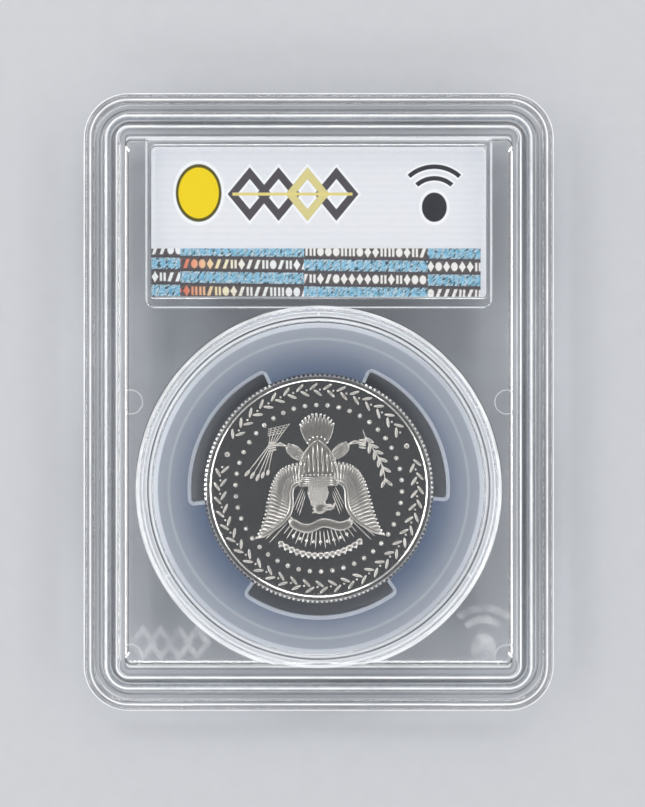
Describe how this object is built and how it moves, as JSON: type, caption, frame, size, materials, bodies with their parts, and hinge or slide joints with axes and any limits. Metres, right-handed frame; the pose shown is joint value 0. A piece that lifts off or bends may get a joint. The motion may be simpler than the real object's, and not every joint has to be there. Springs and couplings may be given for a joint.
{
  "type": "graded coin slab",
  "caption": "Flat clear welded holder with stacking rims, a mirror-finish coin held in a milky three-prong ring, and a two-sided label with a contactless tag and foil strip.",
  "frame": {"origin": "middle of the holder's outline, on the plane that its front face rests on", "axes": "+X across the holder, +Y towards the label's end, +Z out of the back face"},
  "size_m": [0.0622, 0.0816, 0.0084],
  "materials": {
    "clear_shell": "clear polished polystyrene",
    "weld": "rough fused polystyrene",
    "gasket": "milky translucent elastomer, satin",
    "coin_metal": "mirror field with frosted relief",
    "label_paper": "coated paper, satin",
    "adhesive": "clear acrylic adhesive",
    "film": "clear film",
    "etched_foil": "etched foil",
    "chip": "bare die",
    "foil_strip": "diffractive foil"
  },
  "bodies": {
    "slab": {"front_shell": "clear_shell", "back_shell": "clear_shell", "weld_bead": "weld", "label_front_sheet": "label_paper", "adhesive_front": "adhesive", "nfc_film": "film", "nfc_antenna": "etched_foil", "nfc_bridge": "etched_foil", "nfc_chip": "chip", "adhesive_back": "adhesive", "label_back_sheet": "label_paper", "hologram_strip": "foil_strip"},
    "coin_insert": {"coin_gasket": "gasket", "coin": "coin_metal"}
  },
  "joints": [
    {"name": "insert_turn", "type": "hinge", "parent": "slab", "child": "coin_insert", "pos_m": [0, -0.0115, 0.0026], "axis": [0, 0, 1], "continuous": true}
  ]
}
